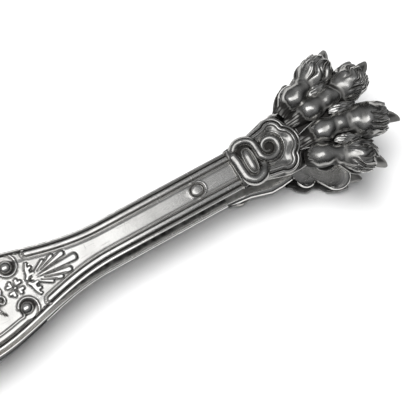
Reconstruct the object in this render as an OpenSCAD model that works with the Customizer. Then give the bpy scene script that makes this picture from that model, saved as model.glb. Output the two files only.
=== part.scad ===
// Sugar tongs: a sprung bow carries two struck arms, each ending in a cuff, a knot and a lion's paw.
// The tongs lie on the lower arm, with +X towards the paws and +Z up.
// Arm pieces are drawn at (x, y, out), where out is the distance from the middle plane between the arms.

/* [Overall] */
// Length from the crown of the bow to the claw tips
length = 150; // [130:1:180]
// Height over both arms as the tongs lie flat
height = 32; // [27:0.5:40]

/* [Bow] */
// Width of the sprung strip
bow_w = 12.6; // [9:0.1:16]
// Thickness of the sprung strip
bow_t = 1.6; // [1.2:0.1:2]
// Gap across the flexing line between the bow and an arm
flex_gap = 0.12; // [0.1:0.01:0.2]

/* [Arm] */
// Width of the arm at its neck, beside the cuff
neck_w = 8.7; // [7:0.1:11]
// Thickness of the arm over its reeds
arm_t = 2; // [1.6:0.1:2.6]
// Width of the arm across its shoulder
shoulder_w = 17.6; // [14:0.1:22]
// Distance of the shoulder's middle from the flexing line
shoulder_x = 42; // [34:0.5:48]
// Length of the full-width shoulder
shoulder_len = 6; // [2:0.5:12]
// Length over which the shoulder narrows to the neck
flare_len = 29.5; // [20:0.5:45]
// How far the neck's face lies inside the bow's outer face
neck_drop = 3.4; // [2:0.1:5]
// Height of a scroll boss or petal above the arm's face
relief_h = 0.45; // [0.3:0.05:0.6]
// Radius of a scroll boss
volute_r = 1.7; // [1.2:0.1:2.2]
// Distance from the shoulder's middle to a scroll boss, along the arm
volute_x = 13; // [10:0.5:16]
// Distance from the arm's middle to a scroll boss, across the arm
volute_y = 4.3; // [3.5:0.1:5.5]
// Length of the palmette's middle leaf
palmette_len = 9; // [6:0.5:12]
// Distance from the shoulder's middle to the reeds' rounded ends
reed_stop = 16.7; // [14:0.5:20]
// Length of the tenon that enters the cuff
tenon_len = 6; // [4:0.5:8]
// Width of the tenon
tenon_w = 5; // [3:0.1:5.6]
// Thickness of the tenon
tenon_t = 1.1; // [0.8:0.1:1.3]

/* [Cuff] */
// Length of the cuff
cuff_len = 14.5; // [13:0.5:17]
// Width of the cuff where the paw leaves it
wrist_w = 12.4; // [11:0.1:15]
// Metal left above and below the tenon
cuff_wall = 1.1; // [0.8:0.1:1.6]
// Radius of a lobe of the cuff's shield
lobe_r = 2.7; // [2:0.1:3.2]
// Clearance round the tenon and the tang
socket_gap = 0.05; // [0.03:0.01:0.1]

/* [Knot] */
// Radius of the rolled strap
strap_r = 0.95; // [0.7:0.05:1.1]
// Half length of the straight runs of the loop
loop_run = 1.7; // [1.2:0.1:2]
// Radius of the loop's ends, to the strap's middle
loop_r = 2.25; // [2:0.05:2.6]
// Radius of the scroll, to the strap's middle
scroll_r = 2.2; // [1.9:0.05:2.5]
// Half length of the oval boss inside the loop
boss_len = 2.4; // [1.8:0.1:2.6]
// Half width of the oval boss
boss_r = 0.95; // [0.7:0.05:1.1]

/* [Paw] */
// Radius of the palm's outer dome
palm_r = 30; // [24:0.5:40]
// Thickness of the palm shell
palm_t = 1.2; // [0.9:0.1:1.6]
// How far the palm's dome lies below the face of the neck
palm_drop = 0.3; // [0.1:0.1:0.8]
// Distance from the cuff to the middle of the dome
palm_x = 8.5; // [6:0.5:11]
// Length of the tang that enters the cuff
tang_len = 5; // [3:0.5:6]
// Width of the tang
tang_w = 5; // [3:0.1:6]
// Thickness of the tang
tang_t = 0.8; // [0.6:0.1:1]

/* [Toes, each as inner then outer] */
// Distance of the root from the paw's middle line
root_y = [2.15, 5.4]; // [1.5:0.05:6]
// Length of the first joint of the toe
first_len = [6.3, 4.2]; // [3:0.1:9]
// Length of the second joint of the toe
second_len = [8.8, 6.2]; // [5:0.1:11]
// Splay of the first joint
first_splay = [5, 30]; // [0:1:35]
// Splay of the second joint
second_splay = [14, 28]; // [5:1:45]
// Rise of the first joint from root to knuckle
toe_rise = [2, 1]; // [0:0.1:3]
// Fall of the second joint from knuckle to rim
toe_fall = [2.2, 1.9]; // [0.5:0.1:4]
// Radius of a toe at its root
root_r = 1.4; // [1.1:0.05:1.55]
// Radius of a toe at its knuckle and its rim
toe_r = 1.75; // [1.4:0.05:2]
// Swell of the first and second joints beyond that radius
toe_swell = [0.45, 1.25]; // [0.2:0.05:1.5]
// Depth of the flat worn on the inner toes where the tongs lie
worn_depth = 0.2; // [0.1:0.05:0.4]
// Gap of the solder seam under a toe and round a claw's seat
seam = 0.02; // [0.01:0.01:0.05]
// Gap between a claw and the edge of the palm
claw_gap = 0.1; // [0.05:0.05:0.3]

/* [Claws, each as inner then outer] */
// Length of a claw beyond the toe's rim
claw_len = [4.3, 3.6]; // [2.5:0.1:6]
// Radius of a claw at its seat
claw_r = 1.2; // [0.9:0.05:1.4]
// Splay of a claw
claw_splay = [40, 58]; // [20:1:80]
// Dip of a claw towards the other paw
claw_dip = 45; // [30:1:60]
// Radius of the claw's blunt tip
claw_tip_r = 0.22; // [0.15:0.01:0.4]

/* [Hidden] */
SIDES = ["upper", "lower"];
TOES = [0 : 3];

$fn = 48;
overlap = 0.4;
arm_steps = 44;
reed_steps = 20;
spare = 2;
swell_steps = 10;
silver = "silver";
cast_silver = "darkgray";
dark_silver = "dimgray";

half_h = height / 2;
bow_x = -length / 2 + half_h;
neck_face = half_h - neck_drop;

// A toe's kind: 0 for the two inner toes, 1 for the two outer ones
function kind(i) = (i == 0 || i == 3) ? 1 : 0;
function side(i) = i < 2 ? 1 : -1;
function heading(angle, i) = [cos(angle), side(i) * sin(angle), 0];

// The toe's line, from the cuff's front face: root, knuckle, rim and claw tip
second_r = toe_r + toe_swell[1];
root_out = neck_face - palm_drop - 0.3;
function toe_root(i) = [root_r / 4, side(i) * root_y[kind(i)], root_out];
function toe_knuckle(i) =
    toe_root(i) + first_len[kind(i)] * heading(first_splay[kind(i)], i) + [0, 0, toe_rise[kind(i)]];
function toe_rim(i) =
    toe_knuckle(i) + second_len[kind(i)] * heading(second_splay[kind(i)], i) - [0, 0, toe_fall[kind(i)]];
function claw_heading(i) =
    cos(claw_dip) * heading(claw_splay[kind(i)], i) - [0, 0, sin(claw_dip)];
function claw_tip(i) = toe_rim(i) + claw_len[kind(i)] * claw_heading(i);

// The inner toes are lifted until their worn flats lie in the plane of the bow's outer face
second_mid_out = (toe_knuckle(1)[2] + toe_rim(1)[2]) / 2;
paw_lift = half_h + worn_depth - second_r - second_mid_out;
paw_reach = claw_tip(1)[0] + claw_tip_r;
wrist_x = length / 2 - paw_reach;
cuff_x = wrist_x - cuff_len;

// The arm is drawn flat, from the flexing line at 0 to the cuff at arm_len, then tilted inwards
neck_back = neck_face - arm_t;
arm_fall = half_h - arm_t - neck_back;
arm_tilt = atan2(arm_fall, cuff_x - bow_x);
arm_len = norm([arm_fall, cuff_x - bow_x]);

// Half width of the arm: neck, shoulder and bow, joined by smooth ogees
flare_power = 1.15;
neck_run = min(flare_len, arm_len - shoulder_x - shoulder_len / 2);
bow_run = shoulder_x - shoulder_len / 2;
function ease(t) = let(c = min(max(t, 0), 1)) c * c * (3 - 2 * c);
function half_w(x) =
    let(
        d = abs(x - shoulder_x) - shoulder_len / 2,
        run = x > shoulder_x ? neck_run : bow_run,
        end_w = x > shoulder_x ? neck_w : bow_w,
        t = min(max(1 - d / run, 0), 1)
    )
    (end_w + (shoulder_w - end_w) * ease(pow(t, flare_power))) / 2;

// The moulding, as distances in from the edge and shares of the thickness: steps reach across, reeds run along
steps = [[0, 0.35], [0.9, 0.72]];
reeds = [[1.14, 1.86, 1], [2.2, 2.5, 0.87]];
field_share = steps[1][1];
field_h = field_share * arm_t;

// Levels of the cuff and the tenon in it
tenon_out = neck_back + field_h / 2;
cuff_low = tenon_out - tenon_t / 2 - cuff_wall;
cuff_high = max(tenon_out + tenon_t / 2 + cuff_wall, neck_face + 0.5);

// The palm's dome
dome_out = neck_face - palm_drop - palm_r;
wrist_drop = palm_r - sqrt(palm_r * palm_r - palm_x * palm_x);
tang_out = neck_face - palm_drop - wrist_drop - palm_t / 2;

// Places a piece on the upper or the lower arm: the lower one is the upper one turned over
module on(side_name) {
    translate([0, 0, half_h]) rotate([side_name == "upper" ? 0 : 180, 0, 0]) children();
}

// Places a piece at the cuff's front face
module at_wrist() {
    translate([wrist_x, 0, 0]) children();
}

// Turns +Z to point along a line and moves the start to its foot
module along_line(foot, direction) {
    tilt = acos(direction[2] / norm(direction));
    translate(foot) rotate([0, tilt, atan2(direction[1], direction[0])]) children();
}

// The moulding's section, with its back on the X axis
module moulding(w, t) {
    half = concat(
        [[0, 0], [0, steps[0][1]], [steps[1][0], steps[0][1]], [steps[1][0], field_share]],
        [for (r = reeds) each [[r[0], field_share], [r[0], r[2]], [r[1], r[2]], [r[1], field_share]]]
    );
    polygon(concat(
        [for (h = half) [w / 2 - h[0], h[1] * t]],
        [for (k = [len(half) - 1 : -1 : 0]) [half[k][0] - w / 2, half[k][1] * t]]
    ));
}

// A strip bent through half a turn, with the same moulding as the arms
module bow_spring() {
    color(silver)
        translate([bow_x, 0, half_h]) rotate([-90, 0, 0]) rotate([0, 0, 90])
            rotate_extrude(angle = 180)
                translate([half_h - bow_t, 0]) rotate([0, 0, -90]) moulding(bow_w, bow_t);
}

// Tilts a flat arm to its place, with its back on the XY plane before the tilt
module arm_place() {
    translate([bow_x, 0, half_h - arm_t]) rotate([0, arm_tilt, 0]) children();
}

// The plan of the blade, as far in from its edge as the inset
module blade_plan(inset) {
    step = (arm_len + 2 * spare) / arm_steps;
    stations = [for (k = [0 : arm_steps]) step * k - spare];
    polygon(concat(
        [for (x = stations) [x, half_w(x) - inset]],
        [for (k = [arm_steps : -1 : 0]) [stations[k], inset - half_w(stations[k])]]
    ));
}

// The plan of one reed, from its rounded end beside the shoulder to the arm's end: direction 1 runs to the cuff
module reed_plan(r, direction) {
    run = (direction > 0 ? arm_len - shoulder_x : shoulder_x) + spare - reed_stop;
    stations = [for (k = [0 : reed_steps]) shoulder_x + direction * (reed_stop + run * k / reed_steps)];
    stop_mid = half_w(stations[0]) - (r[0] + r[1]) / 2;
    stop_r = (r[1] - r[0]) / 2;
    polygon(concat(
        [for (x = stations) [x, half_w(x) - r[0]]],
        [for (k = [reed_steps : -1 : 0]) [stations[k], half_w(stations[k]) - r[1]]],
        [for (a = [-60 : 30 : 60]) [stations[0] - direction * stop_r * cos(a), stop_mid + stop_r * sin(a)]]
    ));
}

// The moulded blade of an arm, long enough to be trimmed at both ends
module blade() {
    for (s = steps) linear_extrude(s[1] * arm_t) blade_plan(s[0]);
    for (r = reeds, direction = [-1, 1], m = [0, 1])
        mirror([0, m, 0]) translate([0, 0, overlap]) linear_extrude(r[2] * arm_t - overlap) reed_plan(r, direction);
}

// One leaf of the palmette: a tapered blade with a round end
module leaf(reach, end_r, root_r) {
    linear_extrude(overlap + relief_h) {
        polygon([[0, -root_r], [reach, -end_r], [reach, end_r], [0, root_r]]);
        translate([reach, 0]) circle(end_r * 1.15);
    }
}

// A fan of leaves that points along the arm, away from the shoulder
module palmette() {
    end_r = palmette_len / 13;
    fan_step = 10;
    shortening = 0.015;
    for (k = [-3 : 3])
        rotate([0, 0, k * fan_step])
            leaf(palmette_len * (1 - shortening * fan_step * abs(k)) - end_r, end_r, end_r / 3);
}

// A four-petalled flower
module rosette() {
    petal_r = volute_r * 0.45;
    for (angle = [0 : 90 : 270])
        rotate([0, 0, angle]) translate([petal_r * 1.3, 0, 0]) cylinder(r = petal_r, h = overlap + relief_h);
    cylinder(r = petal_r * 0.8, h = overlap + relief_h * 1.4);
}

// The ornament at one end of the shoulder: direction 1 faces the paw and -1 the bow
module shoulder_ornament(direction) {
    eye_r = volute_r * 0.55;
    translate([shoulder_x, 0, field_h - overlap]) rotate([0, 0, direction > 0 ? 0 : 180]) {
        for (y = [-volute_y, volute_y]) translate([volute_x, y, 0]) {
            cylinder(r = volute_r, h = overlap + relief_h);
            cylinder(r = eye_r, h = overlap + 2 * relief_h);
        }
        translate([volute_x, 0, 0]) rosette();
        translate([reed_stop, 0, 0]) palmette();
    }
}

// An arm: moulded blade with struck ornament, trimmed upright at both ends, and the tenon for the cuff
module arm() {
    trim_h = 4 * height;
    color(silver) {
        intersection() {
            arm_place() {
                blade();
                for (direction = [-1, 1]) shoulder_ornament(direction);
            }
            translate([bow_x + flex_gap, -shoulder_w, -trim_h / 2])
                cube([cuff_x - bow_x - flex_gap, 2 * shoulder_w, trim_h]);
        }
        translate([cuff_x - overlap, -tenon_w / 2, tenon_out - tenon_t / 2])
            cube([tenon_len + overlap, tenon_w, tenon_t]);
    }
}

// A pocket in the cuff that takes a tenon or a tang with the socket clearance
module pocket(w, t, deep) {
    translate([0, -w / 2 - socket_gap, -t / 2 - socket_gap])
        cube([deep + socket_gap, w + 2 * socket_gap, t + 2 * socket_gap]);
}

// The three lobes of the cuff's shield, as centres from the cuff's front face
lobe_in = lobe_r + 0.9;
lobe_y = (wrist_w / 2 - lobe_r) * 1.05;
lobes = [[-lobe_in - 1.6, lobe_y, 60], [-lobe_in, 0, 0], [-lobe_in - 1.6, -lobe_y, -60]];
rib_r = 0.4;
rib_turn = 150;

// A rolled rib of half-round section, bent to radius r through an angle, on the plane at 0
module half_round_arc(r, tube_r, angle) {
    rotate_extrude(angle = angle) translate([r, 0]) intersection() {
        circle(tube_r);
        translate([-tube_r, 0]) square([2 * tube_r, tube_r]);
    }
}

// The cuff: a flared block with a lobed shield, pocketed for the arm's tenon and the palm's tang
module cuff() {
    cuff_back_w = neck_w + 0.4;
    color(cast_silver) at_wrist() difference() {
        union() {
            translate([0, 0, cuff_low]) linear_extrude(cuff_high - cuff_low) {
                polygon([
                    [-cuff_len, -cuff_back_w / 2], [-lobe_in, -wrist_w / 2 + 0.4], [0, -wrist_w / 2],
                    [0, wrist_w / 2], [-lobe_in, wrist_w / 2 - 0.4], [-cuff_len, cuff_back_w / 2]
                ]);
                for (l = lobes) translate([l[0], l[1]]) circle(lobe_r);
            }
            for (l = lobes) translate([l[0], l[1], cuff_high - 0.1]) rotate([0, 0, l[2] - rib_turn / 2])
                half_round_arc(lobe_r - 0.7, rib_r, rib_turn);
        }
        translate([-cuff_len - 1, 0, tenon_out]) pocket(tenon_w, tenon_t, tenon_len + 1);
        translate([-tang_len - socket_gap, 0, tang_out]) pocket(tang_w, tang_t, tang_len + 1);
    }
}

// The knot: a strap rolled round an oval boss, then curled into a scroll
module knot() {
    loop_x = -cuff_len + loop_r + strap_r;
    scroll_x = loop_x + loop_r + scroll_r * 0.9;
    scroll_y = 0.7;
    curl_r = scroll_r / 2;
    color(cast_silver) at_wrist() translate([0, 0, cuff_high]) {
        translate([loop_x, 0, 0]) {
            for (s = [-1, 1]) {
                translate([0, s * loop_run, 0]) rotate([0, 0, s > 0 ? 0 : 180]) half_round_arc(loop_r, strap_r, 180);
                translate([s * loop_r, loop_run, 0]) rotate([90, 0, 0])
                    linear_extrude(2 * loop_run) intersection() {
                        circle(strap_r);
                        translate([-strap_r, 0]) square([2 * strap_r, strap_r]);
                    }
            }
            oval_boss();
        }
        translate([scroll_x, scroll_y, 0]) rotate([0, 0, 210]) half_round_arc(scroll_r, strap_r, 270);
        translate([scroll_x, scroll_y + scroll_r - curl_r, 0]) rotate([0, 0, 90]) half_round_arc(curl_r, strap_r * 0.8, 180);
    }
}

// The oval boss inside the knot's loop, flat underneath
module oval_boss() {
    intersection() {
        rotate([90, 0, 0]) rotate_extrude()
            polygon(concat(
                [for (k = [-swell_steps : swell_steps]) let(t = k / swell_steps)
                    [boss_r * sqrt(max(1 - t * t, 0)), t * boss_len]]
            ));
        translate([-boss_r, -boss_len, 0]) cube([2 * boss_r, 2 * boss_len, boss_r]);
    }
}

// Plan of the palm, from the cuff's front face: a fan with a scallop under every toe
module palm_plan() {
    wrist_y = wrist_w / 2 - 0.6;
    scallop_r = second_r * 0.9;
    polygon([
        [seam, -wrist_y], for (i = [3 : -1 : 0]) [scallop_at(i)[0], scallop_at(i)[1]],
        [seam, wrist_y]
    ]);
    for (i = TOES) translate([scallop_at(i)[0], scallop_at(i)[1]]) circle(scallop_r);
}

// The middle of the palm's scallop under a toe, back from the toe's rim
scallop_back = 0.36;
function scallop_at(i) = toe_rim(i) + scallop_back * (toe_knuckle(i) - toe_rim(i));

// A ball of the palm's dome, grown by a margin
module dome(margin) {
    translate([palm_x, 0, dome_out]) sphere(palm_r + margin, $fn = 96);
}

// The palm: a cupped shell with a tang that enters the cuff
module palm() {
    color(cast_silver) at_wrist() {
        intersection() {
            difference() {
                dome(0);
                dome(-palm_t);
                for (i = TOES) claw_form(i, claw_gap);
            }
            translate([0, 0, dome_out]) linear_extrude(2 * palm_r) palm_plan();
        }
        translate([-tang_len, -tang_w / 2, tang_out - tang_t / 2])
            cube([tang_len + palm_t, tang_w, tang_t]);
    }
}

// One swelling joint of a toe, from foot to head, with its radius at the foot
module toe_joint(foot, head, foot_r, swell) {
    reach = norm(head - foot);
    along_line(foot, head - foot) rotate_extrude()
        polygon(concat(
            [[0, 0]],
            [for (k = [0 : swell_steps]) let(t = k / swell_steps)
                [foot_r + (toe_r - foot_r) * t + swell * sin(180 * t), reach * t]],
            [[0, reach]]
        ));
}

// A toe: two joints and a knuckle, bedded on the palm, hooded over a round seat for its claw
module toe(i) {
    lift = [0, 0, paw_lift];
    knuckle_grow = 0.12;
    color(cast_silver) at_wrist() difference() {
        union() {
            toe_joint(toe_root(i), toe_knuckle(i) + lift, root_r, toe_swell[0]);
            translate(toe_knuckle(i) + lift) sphere(toe_r + knuckle_grow);
            toe_joint(toe_knuckle(i) + lift, toe_rim(i) + lift, toe_r, toe_swell[1]);
        }
        dome(seam);
        along_line(toe_rim(i) + lift, claw_heading(i)) {
            sphere(claw_r + seam);
            translate([-second_r, -second_r, -seam]) cube(2 * second_r);
        }
        translate([-palm_r + seam, -palm_r, 0]) cube([palm_r, 2 * palm_r, 2 * half_h]);
        translate([-palm_r, -palm_r, half_h]) cube([3 * palm_r, 2 * palm_r, palm_r]);
    }
}

// The form of a claw, grown by a margin: a round seat in the toe and a tapered point
module claw_form(i, margin) {
    reach = claw_len[kind(i)] + margin;
    foot_r = claw_r * 0.96;
    along_line(toe_rim(i) + [0, 0, paw_lift], claw_heading(i)) {
        sphere(claw_r + margin);
        rotate_extrude()
            polygon(concat(
                [[0, 0]],
                [for (k = [0 : swell_steps]) let(t = k / swell_steps)
                    [claw_tip_r + (foot_r - claw_tip_r) * cos(90 * t) + margin, reach * t]],
                [[0, reach]]
            ));
    }
}

// A claw, seated in its toe
module claw(i) {
    color(dark_silver) at_wrist() claw_form(i, 0);
}

bow_spring();
for (s = SIDES) {
    on(s) arm();
    on(s) cuff();
    on(s) knot();
    on(s) palm();
    for (i = TOES) {
        on(s) toe(i);
        on(s) claw(i);
    }
}
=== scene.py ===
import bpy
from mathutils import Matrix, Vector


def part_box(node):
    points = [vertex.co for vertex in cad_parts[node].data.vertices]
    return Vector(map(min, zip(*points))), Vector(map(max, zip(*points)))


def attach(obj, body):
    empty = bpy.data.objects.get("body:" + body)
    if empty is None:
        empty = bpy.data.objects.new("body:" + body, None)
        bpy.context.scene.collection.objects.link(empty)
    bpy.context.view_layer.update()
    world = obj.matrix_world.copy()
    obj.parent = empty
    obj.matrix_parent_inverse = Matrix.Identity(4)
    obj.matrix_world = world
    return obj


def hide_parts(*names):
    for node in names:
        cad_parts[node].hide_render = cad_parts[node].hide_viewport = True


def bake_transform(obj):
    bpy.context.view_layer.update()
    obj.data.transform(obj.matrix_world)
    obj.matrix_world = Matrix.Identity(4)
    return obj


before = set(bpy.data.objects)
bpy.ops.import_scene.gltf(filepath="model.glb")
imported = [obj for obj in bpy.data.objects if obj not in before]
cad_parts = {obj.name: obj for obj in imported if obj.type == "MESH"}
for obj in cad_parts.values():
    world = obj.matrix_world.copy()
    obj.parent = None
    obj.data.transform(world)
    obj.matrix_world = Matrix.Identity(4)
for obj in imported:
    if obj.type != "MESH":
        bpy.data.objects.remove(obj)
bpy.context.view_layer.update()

import math

import bpy
import numpy as np
from bpy.props import FloatProperty, FloatVectorProperty, PointerProperty
from mathutils import Matrix, Vector

bl_info = {
    "name": "Sugar tongs",
    "version": (1, 0, 0),
    "blender": (4, 2, 0),
    "location": "View3D > Sidebar > Tongs",
    "description": "Makes silver sugar tongs with lion's-paw grips round their frame",
    "category": "Object",
}

MM = 0.001
SIDES = ("upper", "lower")
# Painted shade on steep sides: the depth that a steep side counts for in the recess mask, in
# millimetres
CAST_SIDE_SHADE, TOE_SIDE_SHADE = 0.08, 0.14


def box_mm(node):
    """The corners of a node's box, in millimetres."""
    low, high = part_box(node)
    return np.array(low) * 1000, np.array(high) * 1000


BOW_LOW, BOW_HIGH = box_mm("bow_spring")
ARM_LOW, _ = box_mm("upper_arm")
CUFF_LOW, CUFF_HIGH = box_mm("upper_cuff")
HALF_H = (BOW_HIGH[2] - BOW_LOW[2]) / 2
MID_Z = (BOW_HIGH[2] + BOW_LOW[2]) / 2
BOW_X = BOW_HIGH[0]
CUFF_X = CUFF_LOW[0]
WRIST_X = CUFF_HIGH[0]
NECK_BACK = ARM_LOW[2] - MID_Z


# Shapes

def smooth(start, end, x):
    """Rises smoothly from 0 at start to 1 at end."""
    t = np.clip((x - start) / (end - start), 0, 1)
    return t * t * (3 - 2 * t)


def dome(d, half):
    """The height of a half-round of unit height, d from its middle."""
    return np.sqrt(np.clip(1 - (d / half) ** 2, 0, 1))


def plump(d, half):
    """The height of a flat-topped round of unit height, d from its middle."""
    return np.sqrt(np.clip(1 - np.abs(d / half) ** 3, 0, 1))


def soft(d, half):
    """The height of a softly rounded rib of unit height, d from its middle."""
    return np.clip(1 - np.abs(d / half) ** 4, 0, 1)


def flat(d, half):
    """The height of a flat rib of unit height with eased sides, d from its middle."""
    return np.clip(1 - np.abs(d / half) ** 8, 0, 1)


def bell(d, half):
    """A soft bump of unit height, d from its middle."""
    return np.exp(-((d / half) ** 2))


def placed(points, side):
    """Moves (x, y, out) in millimetres to its place on the upper or the lower half."""
    turn = 1 if side == "upper" else -1
    x, y, out = np.asarray(points, float).T
    return np.column_stack([x, turn * y, MID_Z + turn * out]) * MM


def loft(rings):
    """A closed skin over a row of rings with the same number of points, capped at both ends."""
    rows, cols = rings.shape[:2]
    points = rings.reshape(-1, 3)
    k = np.arange(rows * cols).reshape(rows, cols)
    beside = np.roll(k, -1, axis=1)
    quads = np.stack([k[:-1], beside[:-1], beside[1:], k[1:]], axis=-1).reshape(-1, 4)
    a, b, c, d = (points[quads[:, n]] - points.mean(axis=0) for n in range(4))
    outward = np.einsum("ij,ij->", np.cross(c - a, d - b), a + b + c + d) > 0
    caps = [k[0][::-1].tolist(), k[-1].tolist()]
    if not outward:
        quads, caps = quads[:, ::-1], [cap[::-1] for cap in caps]
    return points, quads, caps


def joined(*skins):
    """Several skins as one."""
    points, quads, caps, start = [], [], [], 0
    for p, q, c in skins:
        points.append(p)
        quads.append(q + start)
        caps += [[i + start for i in cap] for cap in c]
        start += len(p)
    return np.concatenate(points), np.concatenate(quads), caps


def spline(points, steps):
    """A smooth curve through the points, with so many steps to each span."""
    p = np.asarray(points, float)
    p = np.concatenate([[2 * p[0] - p[1]], p, [2 * p[-1] - p[-2]]])
    t = np.linspace(0, 1, steps, endpoint=False)[:, None]
    spans = []
    for a, b, c, d in zip(p, p[1:], p[2:], p[3:]):
        bend, sway = 2 * a - 5 * b + 4 * c - d, 3 * b - a - 3 * c + d
        spans.append(0.5 * (2 * b + (c - a) * t + bend * t**2 + sway * t**3))
    return np.concatenate(spans + [p[-2:-1]])


def spiral(middle, start_r, end_r, start_deg, end_deg, steps=28):
    """Points on a spiral about a middle."""
    turn = np.radians(np.linspace(start_deg, end_deg, steps))
    r = start_r * (end_r / start_r) ** np.linspace(0, 1, steps)
    return np.column_stack([middle[0] + r * np.cos(turn), middle[1] + r * np.sin(turn)])


def off_line(x, y, a, b):
    """The distance to the line from a to b, and the share of it at which the nearest place lies."""
    along = np.subtract(b, a)
    ahead = (x - a[0]) * along[0] + (y - a[1]) * along[1]
    share = np.clip(ahead / max(along @ along, 1e-9), 0, 1)
    return np.hypot(x - a[0] - share * along[0], y - a[1] - share * along[1]), share


class Relief:
    """Ornament raised on a ground, with a fine sunk outline round each rib."""

    def __init__(self, x, y, outline=0.11, outline_w=0.08):
        self.x, self.y = x, y
        self.raised = np.zeros_like(x)
        self.sunk = np.zeros_like(x)
        self.outline, self.outline_w = outline, outline_w

    def rib(self, path, half, high, profile=soft):
        """Raises a rounded rib along a path; half, its half width, may change along it."""
        path = np.asarray(path, float)
        half = np.broadcast_to(np.asarray(half, float), (len(path),))
        edge = half.max() + 4 * self.outline_w
        near = (
            (self.x > path[:, 0].min() - edge) & (self.x < path[:, 0].max() + edge)
            & (self.y > path[:, 1].min() - edge) & (self.y < path[:, 1].max() + edge)
        )
        x, y = self.x[near], self.y[near]
        raised, sunk = self.raised[near], self.sunk[near]
        for (a, b), (ra, rb) in zip(zip(path, path[1:]), zip(half, half[1:])):
            d, share = off_line(x, y, a, b)
            r = ra + (rb - ra) * share
            raised = np.maximum(raised, high * profile(d, r))
            sunk = np.minimum(sunk, -self.outline * bell(d - r, self.outline_w) * (d >= r))
        self.raised[near], self.sunk[near] = raised, sunk

    def part(self, start, end, half):
        """Cuts a fine line through the raised work."""
        self.raised *= 1 - bell(off_line(self.x, self.y, start, end)[0], half)

    def height(self):
        """The ornament's height over its ground."""
        return np.where(self.raised > 0, self.raised, self.sunk)


# Pieces

CREASE_DEG = 48


def recess_and_side_shade(skin, passes, sides):
    """How far each point lies below its neighbourhood, in millimetres; steep sides add painted
    shade to it.
    """
    points, quads, _ = skin
    count = len(points)
    a, b = np.concatenate([quads[:, [n, (n + 1) % 4]] for n in range(4)]).T
    share = np.bincount(a, minlength=count) + np.bincount(b, minlength=count)
    eased = points.copy()
    for _ in range(passes):
        around = np.column_stack([
            np.bincount(a, eased[b, k], count) + np.bincount(b, eased[a, k], count)
            for k in range(3)
        ])
        eased = (eased + around / share[:, None]) / 2
    p, q, r, s = (points[quads[:, n]] for n in range(4))
    facing = np.cross(r - p, s - q)
    normals = np.column_stack([
        sum(np.bincount(quads[:, n], facing[:, k], count) for n in range(4)) for k in range(3)
    ])
    normals /= np.linalg.norm(normals, axis=1)[:, None] + 1e-12
    steep = 1 - smooth(0.05, 0.75, normals[:, 2])
    # The steep term paints shade on steep sides, which would otherwise mirror the bright floor
    return np.einsum("ij,ij->i", eased - points, normals) + sides * steep


def make_pair(label, skin, node, material, passes=30, sides=0.0, patina_shade_and_highlight=0.0):
    """A piece on each half of the tongs, with its recess mask, which also carries painted shade and
    painted highlights, standing for its node.
    """
    points, quads, caps = skin
    if len(quads) == 0:
        raise RuntimeError(f"{label} has no faces")
    # The offset darkens set places as painted shade and lightens others as painted highlights; in
    # the arm's coves it is real oxide
    recess_shade_and_highlight = (recess_and_side_shade(skin, passes, sides) + patina_shade_and_highlight).astype(np.float32)
    pair = []
    for side in SIDES:
        mesh = bpy.data.meshes.new(f"{side}_{label}")
        mesh.from_pydata(placed(points, side).tolist(), [], quads.tolist() + caps)
        mesh.validate()
        mesh.polygons.foreach_set("use_smooth", np.ones(len(mesh.polygons), bool))
        mesh.set_sharp_from_angle(angle=math.radians(CREASE_DEG))
        mesh.update()
        mesh.attributes.new("recess_shade_and_highlight", "FLOAT", "POINT").data.foreach_set("value", recess_shade_and_highlight)
        mesh.materials.append(material)
        piece = bpy.data.objects.new(mesh.name, mesh)
        bpy.context.scene.collection.objects.link(piece)
        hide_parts(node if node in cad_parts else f"{side}_{node}")
        pair.append(piece)
    return pair


def ride_halves(pair):
    """Lets a pair of pieces move with the upper and the lower half."""
    for side, piece in zip(SIDES, pair):
        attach(piece, f"{side}_half")


# Silver

def new_group(name, inputs, outputs):
    """An empty shader group with named value inputs and outputs."""
    group = bpy.data.node_groups.new(name, "ShaderNodeTree")
    for label, default in inputs:
        socket = group.interface.new_socket(label, in_out="INPUT", socket_type="NodeSocketFloat")
        socket.default_value = default
    for label, kind in outputs:
        group.interface.new_socket(label, in_out="OUTPUT", socket_type=kind)
    return group, group.nodes.new("NodeGroupInput"), group.nodes.new("NodeGroupOutput")


def noise_node(tree, scale, detail, stretch=(1, 1, 1)):
    """Noise in the object's own space, in cycles to the metre, that may be stretched."""
    place = tree.nodes.new("ShaderNodeTexCoord")
    scaling = tree.nodes.new("ShaderNodeMapping")
    scaling.inputs["Scale"].default_value = stretch
    noise = tree.nodes.new("ShaderNodeTexNoise")
    noise.inputs["Scale"].default_value = scale
    noise.inputs["Detail"].default_value = detail
    tree.links.new(place.outputs["Object"], scaling.inputs["Vector"])
    tree.links.new(scaling.outputs["Vector"], noise.inputs["Vector"])
    return noise.outputs["Fac"]


def maths(tree, operation, *values):
    """A maths node over sockets and numbers."""
    node = tree.nodes.new("ShaderNodeMath")
    node.operation = operation
    for socket, value in zip(node.inputs, values):
        if isinstance(value, (int, float)):
            socket.default_value = value
        else:
            tree.links.new(value, socket)
    return node.outputs[0]


def ranged(tree, value, low, high, to_low=0.0, to_high=1.0):
    """A value eased from one range to another."""
    node = tree.nodes.new("ShaderNodeMapRange")
    node.interpolation_type = "SMOOTHSTEP"
    ends = {"From Min": low, "From Max": high, "To Min": to_low, "To Max": to_high}
    for label, number in ends.items():
        if isinstance(number, (int, float)):
            node.inputs[label].default_value = number
        else:
            tree.links.new(number, node.inputs[label])
    tree.links.new(value, node.inputs["Value"])
    return node.outputs["Result"]


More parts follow.
